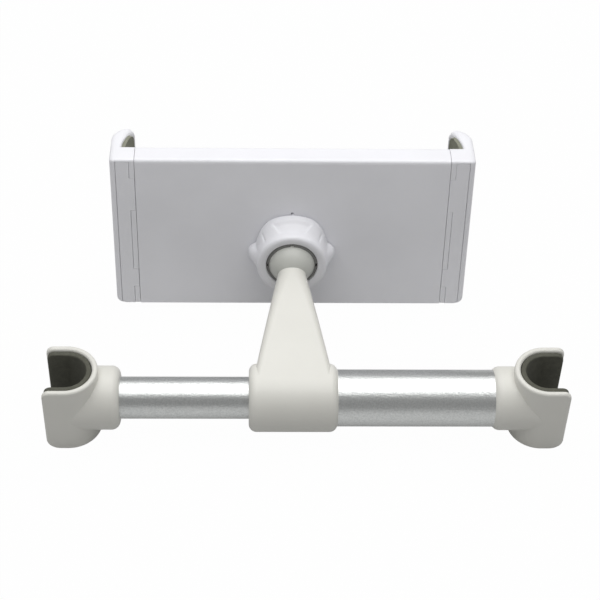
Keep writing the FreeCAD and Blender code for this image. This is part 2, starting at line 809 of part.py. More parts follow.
def jaw_recess(slack, seam):
    """The jaw cover's outline, with the notches along its inner edge."""
    top = f"({TALL_HALF} - side_wall - {slack})"
    outer = f"({JAW_OUT} - jaw_rim - {slack})"
    notch = f"({JAW_IN} + notch_depth + {slack})"
    return [
        (outer, f"-{top}"),
        (outer, top),
        (notch, top),
        (notch, f"{TALL_HALF} - notch_end - {slack}"),
        (seam, f"{TALL_HALF} - notch_end - {slack}"),
        (seam, f"{TALL_HALF} - notch_low + {slack}"),
        (notch, f"{TALL_HALF} - notch_low + {slack}"),
        (notch, f"{TALL_HALF} - notch_high - {slack}"),
        (seam, f"{TALL_HALF} - notch_high - {slack}"),
        (seam, f"notch_end - {TALL_HALF} + {slack}"),
        (notch, f"notch_end - {TALL_HALF} + {slack}"),
        (notch, f"-{top}"),
    ]


def make_jaw(side, sense, rack_sense):
    """A jaw; rack_sense is 1 where its rack runs above the pinion, -1 below."""
    body = begin(f"{side}_jaw", "holder")
    inner_tip = "(lip_curl - lip_tip_inset)"
    pad(body, "z", f"-{TALL_HALF}", TALL_HALF, sided(sense, [
        (JAW_IN, "0"),
        (f"{JAW_OUT} - body_edge", "0", "body_edge", 1),
        (JAW_OUT, "body_edge"),
        (JAW_OUT, f"{LIP_TIP} - lip_round", "lip_round", 1),
        (f"{JAW_OUT} - lip_round", LIP_TIP),
        (f"{JAW_OUT} - lip_curl + lip_tip_round", LIP_TIP, "lip_tip_round", 1),
        (f"{JAW_OUT} - lip_curl", f"{LIP_TIP} - lip_tip_round"),
        (f"{JAW_OUT} - {inner_tip}", f"{LIP_TIP} - lip_tip_wall", "lip_inner_round", -1),
        (f"{JAW_OUT} - lip_root_wall", "body_depth"),
        (JAW_IN, "body_depth"),
    ]))
    cut(body, "y", "-cover_gap", "jaw_cover_thick", sided(sense, jaw_recess("0", f"({JAW_IN} - jaw_gap)")))

    root = f"({JAW_IN} + jaw_root)"
    low = f"(guide_low - {TALL_HALF})"
    pad(body, "y", ARM_LOW, ARM_HIGH, sided(sense, rectangle(
        f"{JAW_IN} - guide_length", low, root, f"{low} + guide_width")))
    near = f"(pinion_height + {rack_sense} * (pinion_radius + tooth_deep))"
    far = f"(pinion_height + {rack_sense} * (pinion_radius + tooth_deep + rack_back))"
    pad(body, "y", ARM_LOW, ARM_HIGH, sided(sense, rectangle("-rack_past", near, root, far)))
    thick = f"({TOOTH_PITCH} / 4 - tooth_backlash / 2)"
    foot = f"({thick} + tooth_deep * tooth_slope)"
    tip = f"({thick} - tooth_tall * tooth_slope)"
    base = f"pinion_height + {rack_sense} * (pinion_radius + tooth_deep)"
    crown = f"pinion_height + {rack_sense} * (pinion_radius - tooth_tall)"
    tooth = pad(body, "y", ARM_LOW, ARM_HIGH, sided(sense, [
        (f"{TOOTH_PITCH} - {foot}", base),
        (f"{TOOTH_PITCH} + {foot}", base),
        (f"{TOOTH_PITCH} + {tip}", crown),
        (f"{TOOTH_PITCH} - {tip}", crown),
    ]))
    doc.recompute()
    rack = body.newObject("PartDesign::LinearPattern", "rack")
    rack.Originals = [tooth]
    rack.Direction = (next(item for item in body.Origin.OriginFeatures if item.Role == "X_Axis"), [""])
    rack.Reversed = sense > 0
    rack.setExpression("Length", bound(f"{TOOTH_PITCH} * (rack_teeth - 1)"))
    rack.setExpression("Occurrences", bound("rack_teeth"))
    body.Tip = rack
    tab_low = f"({ARM_HIGH} - tab_thick)"
    pad(body, "y", tab_low, ARM_HIGH, sided(sense, rectangle(
        "spring_post_out - spring_post", "spring_height - tab_half", root, "spring_height + tab_half")))
    pad(body, "y", ARM_LOW, tab_low, (f"{sense} * spring_post_out", "spring_height", "spring_post"))

    cover = begin(f"{side}_jaw_cover", "holder")
    pad(cover, "y", "0", "jaw_cover_thick", sided(sense, jaw_recess("cover_gap", JAW_IN)))

    grip = begin(f"{side}_jaw_pad", "holder")
    half = f"({TALL_HALF} - jaw_pad_inset)"
    back = f"({JAW_OUT} - lip_root_wall - run_gap)"
    end = f"({JAW_OUT} - {inner_tip} - run_gap)"
    pad(grip, "z", f"-{half}", half, sided(sense, [
        (back, "body_depth", "lip_inner_round", 1),
        (end, f"{LIP_TIP} - lip_tip_wall"),
        (f"{end} - jaw_pad_thick", f"{LIP_TIP} - lip_tip_wall", "lip_inner_round", -1),
        (f"{back} - jaw_pad_thick", "body_depth"),
    ]))


def make_spring(side, sense):
    """Close-wound tension spring between the body's post and the jaw's post."""
    body = begin(f"{side}_spring", "spring")
    start = "(spring_post_in + spring_post + spring_gap)"
    length = "(spring_post_out - spring_post_in - 2 * spring_post - 2 * spring_gap)"
    turns = SIZES["spring_turns"]
    core = "(spring_radius - 2 * spring_wire)"
    crest = "(spring_radius - spring_wire)"
    path = [(start, core), (f"{start} + {length}", core)]
    for turn in range(turns, 0, -1):
        path.append((f"{start} + {length} * {turn} / {turns}", crest, f"{length} / {turns} / sqrt(3)", 1))
    path.append((start, crest))
    turned(body, "Revolution", "H_Axis", "0", sided(sense, path))


make_arm()
make_hub_screw()
make_outer_tube()
make_guide_bush()
make_inner_tube()
make_lock_cone()
make_lock_sleeve()
make_hook("right", "outer_od", OUTER_BORE)
make_hook("left", "inner_od", INNER_BORE)
make_ball_stud()
make_seat_pad()
make_ball_socket()
make_socket_screws()
make_locking_collar()
make_front_cover()
make_back_cover()
make_cover_screws()
make_grip_pad()
make_pinion()
make_jaw("right", 1, -1)
make_jaw("left", -1, 1)
make_spring("right", 1)
make_spring("left", -1)
doc.recompute()

faults = []
for item in doc.Objects:
    if "Invalid" in item.State or "Error" in item.State:
        faults.append(f"{item.Label} failed")
    if item.TypeId in ("PartDesign::Pocket", "PartDesign::Groove"):
        if item.Shape.Volume >= item.BaseFeature.Shape.Volume - 1e-6:
            faults.append(f"{item.Label} cuts nothing")
for body in parts:
    if body.Shape.isNull() or not body.Shape.isValid():
        faults.append(f"{body.Label} has no valid shape")
if faults:
    raise RuntimeError("; ".join(faults))

os.makedirs("parts", exist_ok=True)
for body in parts:
    body.Shape.exportStep(f"parts/{body.Label}.step")
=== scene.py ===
import json
import math

import bmesh
import bpy
from mathutils import Matrix, Vector

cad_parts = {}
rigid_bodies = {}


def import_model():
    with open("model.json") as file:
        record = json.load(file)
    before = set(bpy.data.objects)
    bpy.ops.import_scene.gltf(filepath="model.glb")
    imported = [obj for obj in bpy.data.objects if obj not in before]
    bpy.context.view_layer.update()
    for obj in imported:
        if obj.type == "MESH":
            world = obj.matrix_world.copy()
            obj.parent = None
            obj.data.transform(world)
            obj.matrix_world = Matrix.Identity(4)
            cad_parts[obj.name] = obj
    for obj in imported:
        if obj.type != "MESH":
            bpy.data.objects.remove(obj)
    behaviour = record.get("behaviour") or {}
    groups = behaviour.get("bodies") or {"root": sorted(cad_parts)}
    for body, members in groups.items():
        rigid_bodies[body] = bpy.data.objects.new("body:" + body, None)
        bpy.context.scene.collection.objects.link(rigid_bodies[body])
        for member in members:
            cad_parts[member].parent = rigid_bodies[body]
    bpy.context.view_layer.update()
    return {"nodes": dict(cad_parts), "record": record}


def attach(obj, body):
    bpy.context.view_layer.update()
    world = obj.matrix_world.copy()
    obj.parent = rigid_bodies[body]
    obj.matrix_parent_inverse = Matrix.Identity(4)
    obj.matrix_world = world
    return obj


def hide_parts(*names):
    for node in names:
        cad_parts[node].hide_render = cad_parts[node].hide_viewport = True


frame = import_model()

# Sizes in metres, in the part's own frame.
LEAN = math.radians(7.24)
HOLDER = Matrix.Translation((-0.00436, 0.058801, 0.019202)) @ Matrix.Rotation(-LEAN, 4, "X")
ARM = Matrix.Translation((-0.00436, 0, 0)) @ Matrix.Rotation(math.atan2(13.51, 52.03), 4, "X")
FLOOR = -0.01402


class Value:
    """A shader socket that takes part in arithmetic."""

    def __init__(self, paint, socket):
        self.paint = paint
        self.socket = socket

    def math(self, operation, first, second):
        return self.paint.node("ShaderNodeMath", {"operation": operation}, {0: first, 1: second})

    def __add__(self, other):
        return self.math("ADD", self, other)

    def __mul__(self, other):
        return self.math("MULTIPLY", self, other)

    def __sub__(self, other):
        return self.math("SUBTRACT", self, other)

    def __rsub__(self, other):
        return self.math("SUBTRACT", other, self)

    __radd__ = __add__
    __rmul__ = __mul__


class Paint:
    """A procedural material; every pattern is laid on the part's own coordinates."""

    def __init__(self, name, **constants):
        self.material = bpy.data.materials.new(name)
        self.material.use_nodes = True
        self.tree = self.material.node_tree
        self.tree.nodes.clear()
        self.output = self.tree.nodes.new("ShaderNodeOutputMaterial")
        self.shader = self.tree.nodes.new("ShaderNodeBsdfPrincipled")
        self.tree.links.new(self.shader.outputs[0], self.output.inputs["Surface"])
        for word, constant in constants.items():
            socket = word.replace("_", " ").title().replace("Ior", "IOR")
            self.shader.inputs[socket].default_value = constant
        self.place = self.node("ShaderNodeTexCoord", {}, {}, "Object")

    def node(self, kind, settings, inputs, output=0):
        made = self.tree.nodes.new(kind)
        for setting, choice in settings.items():
            setattr(made, setting, choice)
        for socket, given in inputs.items():
            if isinstance(given, Value):
                self.tree.links.new(given.socket, made.inputs[socket])
            else:
                made.inputs[socket].default_value = given
        return Value(self, made.outputs[output])

    def feed(self, socket, value):
        self.tree.links.new(value.socket, self.shader.inputs[socket])

    def noise(self, scale, detail=2.0, rough=0.5):
        return self.node("ShaderNodeTexNoise", {}, {
            "Vector": self.place, "Scale": scale, "Detail": detail, "Roughness": rough})

    def stretched(self, scale):
        """The part's coordinates, scaled by a different amount along each axis."""
        return self.node("ShaderNodeMapping", {}, {"Vector": self.place, "Scale": scale})

    def blend(self, amount, first, second):
        return self.node("ShaderNodeMix", {"data_type": "RGBA"}, {0: amount, 6: first, 7: second}, 2)

    def ramp(self, value, low, high):
        """A smooth mask from 0 at low to 1 at high."""
        return self.node("ShaderNodeMapRange", {"interpolation_type": "SMOOTHSTEP"}, {
            "Value": value, "From Min": low, "From Max": high})

    def bump(self, height, distance, strength=1.0):
        self.feed("Normal", self.node("ShaderNodeBump", {}, {
            "Height": height, "Distance": distance, "Strength": strength}))


def colour(red, green, blue):
    """A linear colour from the 0 to 255 values of a swatch."""
    def linear(level):
        level /= 255
        return level / 12.92 if level <= 0.04045 else ((level + 0.055) / 1.055) ** 2.4
    return linear(red), linear(green), linear(blue), 1.0


def moulded_plastic(name, pale, shade):
    """Satin moulding: spark-eroded grain, slow cloudiness and a little uneven gloss."""
    paint = Paint(name, ior=1.5)
    cloud = paint.noise(38.0, 3.0)
    grain = paint.noise(5200.0, 2.0, 0.6)
    mottle = paint.noise(900.0, 2.0)
    tone = paint.ramp(cloud, 0.3, 0.7) * 0.55 + paint.ramp(grain, 0.25, 0.75) * 0.3
    paint.feed("Base Color", paint.blend(tone, pale, shade))
    paint.feed("Roughness", 0.36 + (mottle - 0.5) * 0.1 + (grain - 0.5) * 0.08)
    paint.bump(grain * 0.7 + mottle * 0.3, 0.00004, 0.45)
    return paint.material


def blasted_aluminium(name):
    """Bead-blasted and anodised tube: a fine glittering grain over a satin metal."""
    paint = Paint(name, metallic=1.0)
    grain = paint.noise(1500.0, 3.0, 0.75)
    speck = paint.node("ShaderNodeTexVoronoi", {}, {"Vector": paint.place, "Scale": 1900.0})
    drawn = paint.node("ShaderNodeTexNoise", {}, {
        "Vector": paint.stretched((60.0, 1500.0, 1500.0)), "Scale": 1.0, "Detail": 2.0})
    tone = paint.ramp(grain, 0.3, 0.72) * 0.6 + paint.ramp(speck, 0.1, 0.7) * 0.25
    paint.feed("Base Color", paint.blend(tone, (0.80, 0.815, 0.805, 1), (0.58, 0.595, 0.585, 1)))
    paint.feed("Roughness", 0.26 + grain * 0.14 + (drawn - 0.5) * 0.06)
    paint.bump(grain * 0.7 + speck * 0.3, 0.00012, 0.9)
    return paint.material


def grip_rubber(name, dark, pale):
    """Soft grey-green rubber with a fine matt grain and a dusty bloom."""
    paint = Paint(name, ior=1.45)
    dust = paint.noise(420.0, 4.0, 0.65)
    grain = paint.noise(3000.0, 3.0, 0.6)
    tone = paint.ramp(dust, 0.35, 0.75) * 0.6 + paint.ramp(grain, 0.3, 0.7) * 0.3
    paint.feed("Base Color", paint.blend(tone, dark, pale))
    paint.feed("Roughness", 0.74 + (dust - 0.5) * 0.2)
    paint.bump(grain, 0.00008, 0.6)
    return paint.material


def plated_steel(name):
    """Plated steel with turned rings and small stains."""
    paint = Paint(name, metallic=1.0)
    stain = paint.noise(700.0, 3.0)
    brush = paint.node("ShaderNodeTexNoise", {}, {
        "Vector": paint.stretched((9000.0, 900.0, 900.0)), "Scale": 1.0, "Detail": 3.0})
    stained = paint.ramp(stain, 0.4, 0.7)
    paint.feed("Base Color", paint.blend(stained, (0.62, 0.62, 0.64, 1), (0.50, 0.50, 0.51, 1)))
    paint.feed("Roughness", 0.22 + brush * 0.2)
    paint.bump(brush, 0.00002, 0.5)
    return paint.material


FINISHES = {
    "white_plastic": moulded_plastic("white_plastic", colour(228, 227, 220), colour(220, 219, 212)),
    "shell_plastic": moulded_plastic("shell_plastic", colour(243, 243, 247), colour(236, 236, 240)),
    "satin_aluminium": blasted_aluminium("satin_aluminium"),
    "grip_rubber": grip_rubber("grip_rubber", colour(126, 127, 113), colour(146, 147, 133)),
    "steel": plated_steel("steel"),
    "slide_plastic": moulded_plastic("slide_plastic", colour(224, 223, 218), colour(212, 211, 205)),
}

# Hook liners: a darker copy of the grip rubber, as painted shade of the hooks' hollows.
HOOK_RUBBER_PAINTED_SHADE = grip_rubber("hook_rubber_painted_shade", colour(76, 76, 66), colour(96, 96, 85))
# Ball: the white moulding painted greyer, as painted shade of the collar's overhang falling on the ball.
BALL_PAINTED_SHADE = moulded_plastic("ball_painted_shade", colour(206, 207, 201), colour(198, 199, 193))
# Collet: a mid-grey stand-in, painted shade in the gap between the ball and the collar's lip.
COLLET_PAINTED_SHADE = moulded_plastic("collet_painted_shade", colour(128, 128, 126), colour(116, 116, 114))
NODE_FINISHES = {"ball_stud": BALL_PAINTED_SHADE, "ball_socket": COLLET_PAINTED_SHADE}

slot_of = {part["node"]: part["material_slot"] for part in frame["record"]["subparts"]}
for node, shown in frame["nodes"].items():
    shown.data.materials.clear()
    shown.data.materials.append(NODE_FINISHES.get(node, FINISHES[slot_of[node]]))


def plain_piece(name, mesh, body):
    piece = bpy.data.objects.new(name, mesh)
    bpy.context.collection.objects.link(piece)
    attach(piece, body)
    return piece


class Growth:
    """A Geometry Nodes tree with named size inputs, turned into a plain mesh when it is done."""

    def __init__(self, name, sizes):
        self.tree = bpy.data.node_groups.new(name, "GeometryNodeTree")
        self.sizes = sizes
        self.tree.interface.new_socket("Geometry", in_out="INPUT", socket_type="NodeSocketGeometry")
        self.tree.interface.new_socket("Geometry", in_out="OUTPUT", socket_type="NodeSocketGeometry")
        self.ids = {}
        for size, value in sizes.items():
            kind = "NodeSocketInt" if isinstance(value, int) else "NodeSocketFloat"
            self.ids[size] = self.tree.interface.new_socket(size, in_out="INPUT", socket_type=kind).identifier
        self.start = self.tree.nodes.new("NodeGroupInput")
        self.end = self.tree.nodes.new("NodeGroupOutput")

    def size(self, name):
        return self.start.outputs[name]

    def node(self, kind, settings, inputs, output=0):
        made = self.tree.nodes.new(kind)
        for setting, choice in settings.items():
            setattr(made, setting, choice)
        for socket, given in inputs.items():
            if isinstance(given, bpy.types.NodeSocket):
                self.tree.links.new(given, made.inputs[socket])
            else:
                made.inputs[socket].default_value = given
        return made.outputs[output]

    def mesh(self, geometry, material, place):
        solid = self.node("GeometryNodeRealizeInstances", {}, {0: geometry})
        finished = self.node("GeometryNodeSetMaterial", {}, {"Geometry": solid, "Material": material})
        self.tree.links.new(finished, self.end.inputs[0])
        carrier = bpy.data.objects.new(self.tree.name, bpy.data.meshes.new(self.tree.name))
        bpy.context.collection.objects.link(carrier)
        grown = carrier.modifiers.new("grown", "NODES")
        grown.node_group = self.tree
        for size, value in self.sizes.items():
            grown[self.ids[size]] = value
        seen = carrier.evaluated_get(bpy.context.evaluated_depsgraph_get())
        made = bpy.data.meshes.new_from_object(seen)
        carrier.modifiers.clear()
        bpy.data.objects.remove(carrier)
        made.transform(place)
        made.shade_smooth()
        return made


def grip_ribs():
    """Raised ribs across the front grip pad."""
    rows, pad_face = 17, 0.0094
    growth = Growth("grip_ribs", {"Count": rows, "Spacing": 0.003, "Length": 0.092, "Radius": 0.00045})
    right = growth.node("ShaderNodeMath", {"operation": "MULTIPLY"}, {0: growth.size("Length"), 1: 0.5})
    left = growth.node("ShaderNodeMath", {"operation": "MULTIPLY"}, {0: growth.size("Length"), 1: -0.5})
    line = growth.node("GeometryNodeCurvePrimitiveLine", {}, {
        "Start": growth.node("ShaderNodeCombineXYZ", {}, {"X": left}),
        "End": growth.node("ShaderNodeCombineXYZ", {}, {"X": right})})
    ring = growth.node("GeometryNodeCurvePrimitiveCircle", {"mode": "RADIUS"}, {
        "Resolution": 12, "Radius": growth.size("Radius")})
    rib = growth.node("GeometryNodeCurveToMesh", {}, {"Curve": line, "Profile Curve": ring, "Fill Caps": True})
    rise = growth.node("ShaderNodeMath", {"operation": "MULTIPLY"}, {
        0: growth.size("Spacing"), 1: -(rows - 1) / 2})
    row = growth.node("GeometryNodeMeshLine", {}, {
        "Count": growth.size("Count"),
        "Start Location": growth.node("ShaderNodeCombineXYZ", {}, {"Z": rise}),
        "Offset": growth.node("ShaderNodeCombineXYZ", {}, {"Z": growth.size("Spacing")})})
    ribs = growth.node("GeometryNodeInstanceOnPoints", {}, {"Points": row, "Instance": rib})
    place = HOLDER @ Matrix.Translation((0, pad_face, 0))
    mesh = growth.mesh(ribs, FINISHES["grip_rubber"], place)
    plain_piece("grip_ribs", mesh, "holder")


def jaw_spring(side, sense):
    """Close-wound tension spring, in place of the ribbed solid that stands for it."""
    growth = Growth(f"{side}_spring_coil", {
        "Turns": 27.0, "Length": 0.0253, "Radius": 0.00172, "Wire": 0.00027})
    coil = growth.node("GeometryNodeCurveSpiral", {}, {
        "Resolution": 20, "Rotations": growth.size("Turns"), "Start Radius": growth.size("Radius"),
        "End Radius": growth.size("Radius"), "Height": growth.size("Length")})
    ring = growth.node("GeometryNodeCurvePrimitiveCircle", {"mode": "RADIUS"}, {
        "Resolution": 8, "Radius": growth.size("Wire")})
    wire = growth.node("GeometryNodeCurveToMesh", {}, {"Curve": coil, "Profile Curve": ring, "Fill Caps": True})
    near_end = Matrix.Translation((sense * 0.02335, 0.0041, 0.003))
    place = HOLDER @ near_end @ Matrix.Rotation(sense * math.pi / 2, 4, "Y")
    mesh = growth.mesh(wire, FINISHES["steel"], place)
    piece = plain_piece(f"{side}_spring_coil", mesh, "holder")
    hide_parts(f"{side}_spring")


def hub_screw_head():
    """Pan head with a cross recess, under the hub."""
    radius, height, arm, slot, depth, under = 0.0019, 0.0012, 0.00115, 0.00028, 0.0007, -0.0116
    shape = bmesh.new()
    rim = [shape.verts.new((radius * 0.86 * math.cos(a), radius * 0.86 * math.sin(a), 0))
           for a in (2 * math.pi * step / 40 for step in range(40))]
    corners = ((arm, slot), (slot, slot), (slot, arm))
    cross = []
    for quarter in range(4):
        for across, up in corners:
            turn = Matrix.Rotation(quarter * math.pi / 2, 3, "Z")
            cross.append(shape.verts.new(turn @ Vector((across, up, 0))))
    loops = []
    for ring in (rim, cross):
        loops.append([shape.edges.new((ring[i], ring[(i + 1) % len(ring)])) for i in range(len(ring))])
    bmesh.ops.triangle_fill(shape, use_beauty=True, use_dissolve=False, edges=loops[0] + loops[1])
    sunk = [shape.verts.new(v.co * 0.8 + Vector((0, 0, depth))) for v in cross]
    for i in range(len(cross)):
        after = (i + 1) % len(cross)
        shape.faces.new((cross[i], cross[after], sunk[after], sunk[i]))
    shape.faces.new(sunk)
    below = rim
    for grow, level in ((0.96, 0.00012), (1.0, 0.0004), (1.0, height)):
        ring = [shape.verts.new((v.co.x * grow * radius / Vector(v.co.xy).length,
                                 v.co.y * grow * radius / Vector(v.co.xy).length, level)) for v in rim]
        for i in range(len(ring)):
            after = (i + 1) % len(ring)
            shape.faces.new((below[i], below[after], ring[after], ring[i]))
        below = ring
    shape.faces.new(below)
    bmesh.ops.recalc_face_normals(shape, faces=shape.faces)
    mesh = bpy.data.meshes.new("hub_screw_head")
    shape.to_mesh(mesh)
    shape.free()
    mesh.transform(ARM @ Matrix.Translation((0, 0, under)))
    mesh.materials.append(FINISHES["steel"])
    piece = plain_piece("hub_screw_head", mesh, "bar")
    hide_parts("hub_screw")


def ringed(shape, rings, closed):
    """Quads between rings of points; closed joins the last ring to the first."""
    made = [[shape.verts.new(point) for point in ring] for ring in rings]
    count = len(made[0])
    pairs = list(zip(made, made[1:])) + ([(made[-1], made[0])] if closed else [])
    for low, high in pairs:
        for i in range(count):
            after = (i + 1) % count
            shape.faces.new((low[i], low[after], high[after], high[i]))
    return made


def fan(shape, ring, point):
    """Close the end of a tube with triangles to one point."""
    tip = shape.verts.new(point)
    for i in range(len(ring)):
        shape.faces.new((ring[i], ring[(i + 1) % len(ring)], tip))


def finished(shape, name, place, slot, body, node, finish=None):
    """A piece drawn in millimetres, put in its place and in place of its solid."""
    bmesh.ops.dissolve_degenerate(shape, dist=1e-4, edges=shape.edges)
    bmesh.ops.recalc_face_normals(shape, faces=shape.faces)
    for face in shape.faces:
        face.smooth = True
    for edge in shape.edges:
        edge.smooth = edge.calc_face_angle(math.pi) < math.radians(34)
    mesh = bpy.data.meshes.new(name)
    shape.to_mesh(mesh)
    shape.free()
    mesh.transform(place @ Matrix.Scale(0.001, 4))
    mesh.materials.append(finish or FINISHES[slot])
    piece = plain_piece(name, mesh, body)
    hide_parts(node)


def mix(first, second, amount):
    return first + (second - first) * amount


def eased(value, low, high):
    share = min(max((value - low) / (high - low), 0.0), 1.0)
    return share * share * (3 - 2 * share)


def soft_rectangle(half_width, low, high, corner, steps=12):
    """Points round a rectangle with rounded corners, across and up."""
    corner = min(corner, half_width * 0.98, (high - low) * 0.49)
    points = []
    for quarter, (across, up) in enumerate(((1, 1), (-1, 1), (-1, -1), (1, -1))):
        middle_across = across * (half_width - corner)
        middle_up = high - corner if up > 0 else low + corner
        for step in range(steps + 1):
            angle = math.pi / 2 * (quarter + step / steps)
            points.append((middle_across + corner * math.cos(angle), middle_up + corner * math.sin(angle)))
    return points


def crossing(inside, low, high):
    """Where a condition that holds at low stops holding on the way to high."""
    if not inside(low):
        return low
    for _ in range(40):
        middle = (low + high) / 2
        low, high = (middle, high) if inside(middle) else (low, middle)
    return low


def arm_moulding():
    """Hub sleeve and arm, with the rounded end that saddles the ball."""
    ball_at, cup, root, seat, neck_run = 53.756, 8.56, 1.7, 10.4, 45.16
    root_half, root_low, root_high, root_corner = 13.4, -11.2, 11.2, 2.4
    neck_half, neck_low, neck_high, neck_corner = 4.9, -4.3, 5.6, 5.2
    half, radius, edge, bore, lip = 14.73, 11.35, 2.6, 9.52, 7.35
    shape = bmesh.new()
    corner = [(edge * math.sin(a), edge * math.cos(a))
              for a in (math.pi / 2 * step / 8 for step in range(9))]
    profile = [(-half, lip)]
    profile += [(-half + edge - up, radius - edge + along) for along, up in corner]
    profile += [(half - edge + along, radius - edge + up) for along, up in corner]
    profile += [(half, bore), (-half + 3, bore), (-half + 3, lip)]
    turns = [2 * math.pi * step / 128 for step in range(128)]
    ringed(shape, [[(x, r * math.cos(a), r * math.sin(a)) for a in turns] for x, r in profile], True)

    def section(along):
        """Right half of the arm's outline, from below to above."""
        share = (along - root) / neck_run
        points = soft_rectangle(mix(root_half, neck_half, share), mix(root_low, neck_low, share),
                                mix(root_high, neck_high, share),
                                mix(root_corner, neck_corner, max(share, 0.0) ** 3))
        quarter = len(points) // 4
        below, above = points[-quarter:], points[:quarter]
        side = [(mix(below[-1][0], above[0][0], step / 12), mix(below[-1][1], above[0][1], step / 12))
                for step in range(1, 12)]
        return below + side + above

    def in_wall(index, along):
        return along ** 2 + section(along)[index][1] ** 2 < seat ** 2

    def off_ball(index, along):
        across, up = section(along)[index]
        return across ** 2 + up ** 2 + (ball_at - along) ** 2 > cup ** 2

    count = len(section(root))
    starts = [crossing(lambda along, index=index: in_wall(index, along), root, 12.0)
              for index in range(count)]
    ends = [crossing(lambda along, index=index: off_ball(index, along), 30.0, ball_at)
            for index in range(count)]
    rings = []
    for level in range(41):
        spots = [mix(start, end, level / 40) for start, end in zip(starts, ends)]
        right = []
        for index, along in enumerate(spots):
            across, up = section(along)[index]
            right.append((across, along, up))
        rings.append(right + [(-x, y, z) for x, y, z in reversed(right)])
    for share in (0.8, 0.6, 0.4, 0.2):
        spots = [(share * x, share * z) for x, _, z in rings[40]]
        rings.append([(x, ball_at - math.sqrt(cup ** 2 - x ** 2 - z ** 2), z) for x, z in spots])
    made = ringed(shape, rings, False)
    base = made[0]
    for i in range(count - 1):
        shape.faces.new((base[i], base[i + 1], base[-2 - i], base[-1 - i]))
    fan(shape, made[-1], (0, ball_at - cup, 0))
    finished(shape, "arm_moulding", ARM, "white_plastic", "bar", "arm")


def collar_radius(angle, share):
    """Outer radius of the collar: broad grips above and below, an ear on each side."""
    turn = abs((angle + 90) % 180 - 90)
    grip = mix(15.05, 12.9, eased(turn, 24, 76))
    ear = 12.9 + 2.2 * math.sin(math.pi / 2 * min(max((turn - 74) / 14, 0.0), 1.0))
    outer = grip if turn < 74 else ear
    middle = eased(share, 0.04, 0.3) * (1 - eased(share, 0.72, 0.96))
    edge = mix(19, 31, share)
    panel = 0.6 * (1 - eased(turn, edge - 3.0, edge + 0.5)) * middle
    groove = 0.35 * math.exp(-((turn - 49) / 1.8) ** 2) * middle
    return mix(12.3, outer, share) - panel - groove


def collar_grip():
    """Locking collar: shaped grips that run out into a plain rounded ring at the front."""
    turns = [math.radians(1.5 * step) for step in range(240)]
    rings = [[(collar_radius(math.degrees(a), 1.0) - 0.3, -0.35) for a in turns]]
    for level in range(25):
        depth = -0.6 - 7.8 * level / 24
        share = 1 - eased(-depth, 1.4, 8.5)
        rings.append([(collar_radius(math.degrees(a), share), depth) for a in turns])
    nose = [(12.26, -8.75), (12.1, -9.15), (11.8, -9.5), (11.4, -9.72), (10.9, -9.8), (10.3, -9.74),
            (9.5, -9.5), (9.1, -9.32), (8.95, -9.1), (8.9, -8.4), (10.7, -6.0), (10.7, -0.35)]
    rings += [[spot] * len(turns) for spot in nose]
    shape = bmesh.new()
    ringed(shape, [[(r * math.sin(a), y, r * math.cos(a)) for (r, y), a in zip(ring, turns)]
                   for ring in rings], True)
    place = HOLDER @ Matrix.Translation((0, 0, -0.0065))
    finished(shape, "collar_grip", place, "shell_plastic", "collar", "locking_collar")


def rounding(radius, distance):
    """How far a rounded corner falls back at a distance from its end."""
    short = max(radius - distance, 0.0)
    return radius - math.sqrt(radius ** 2 - short ** 2)


def bent_wall(shape, inner, outer, reach, half, rim, top_round, low_round):
    """A U-shaped wall round a post, with soft rims and rounded tips."""
    middle, thick = (inner + outer) / 2, (outer - inner) / 2
    tips = [0, 0.08, 0.2, 0.4, 0.65, 0.95, 1.3, 1.7, 2.2, 2.8, 3.4, 4.0, 4.6, reach * 0.85]
    stations = [(reach - gap, -middle, 0.0, -1.0, gap) for gap in tips]
    for step in range(49):
        angle = -math.pi / 2 - math.pi * step / 48
        along, aside = math.cos(angle), math.sin(angle)
        stations.append((middle * along, middle * aside, along, aside, reach))
    stations += [(reach - gap, middle, 0.0, 1.0, gap) for gap in reversed(tips)]
    rings = []
    for x, y, out_x, out_y, gap in stations:
        section = soft_rectangle(thick - rounding(rim, gap) * 0.8, rounding(low_round, gap) - half,
                                 half - rounding(top_round, gap), rim, 6)
        rings.append([(x + out_x * across, y + out_y * across, up) for across, up in section])
    made = ringed(shape, rings, False)
    shape.faces.new(made[0])
    shape.faces.new(made[-1])


def post_hook(side, turn, bore, body):
    """Open hook for a post, with the collar that takes the tube's end, and its rubber liner."""
    post_at = turn * 0.0791
    place = Matrix.Translation((post_at, 0, 0)) @ Matrix.Rotation(0 if turn > 0 else math.pi, 4, "Z")
    shape = bmesh.new()
    bent_wall(shape, inner=8.75, outer=10.75, reach=6.96, half=13.88,
              rim=0.9, top_round=2.6, low_round=4.5)
    start, radius, edge, seat, wall = -17.4, 10.65, 2.8, -11.4, 9.6
    mouth = max(bore, radius - edge)
    rise = mouth - (radius - edge)
    lead = edge - math.sqrt(edge ** 2 - rise ** 2)
    profile = [(seat, bore), (start + lead, bore)]
    for step in range(11):
        angle = mix(math.asin(rise / edge), math.pi / 2, step / 10)
        profile.append((start + edge * (1 - math.cos(angle)), radius - edge * (1 - math.sin(angle))))
    turns = [2 * math.pi * step / 96 for step in range(96)]
    rings = [[(x, r * math.cos(a), r * math.sin(a)) for a in turns] for x, r in profile]
    for share in (1.0, 0.9, 0.75, 0.55, 0.3):
        spots = [(share * radius * math.cos(a), share * radius * math.sin(a)) for a in turns]
        rings.append([(-math.sqrt(max(wall ** 2 - y ** 2, 0.0)), y, z) for y, z in spots])
    made = ringed(shape, rings, False)
    fan(shape, made[0], (seat, 0, 0))
    fan(shape, made[-1], (-wall, 0, 0))
    finished(shape, f"{side}_hook_moulding", place, "white_plastic", body, f"{side}_hook")

    shape = bmesh.new()
    bent_wall(shape, inner=6.85, outer=8.6, reach=6.5, half=13.2,
              rim=0.5, top_round=2.4, low_round=4.3)
    finished(shape, f"{side}_hook_liner", place, "grip_rubber", body, f"{side}_hook_pad", HOOK_RUBBER_PAINTED_SHADE)


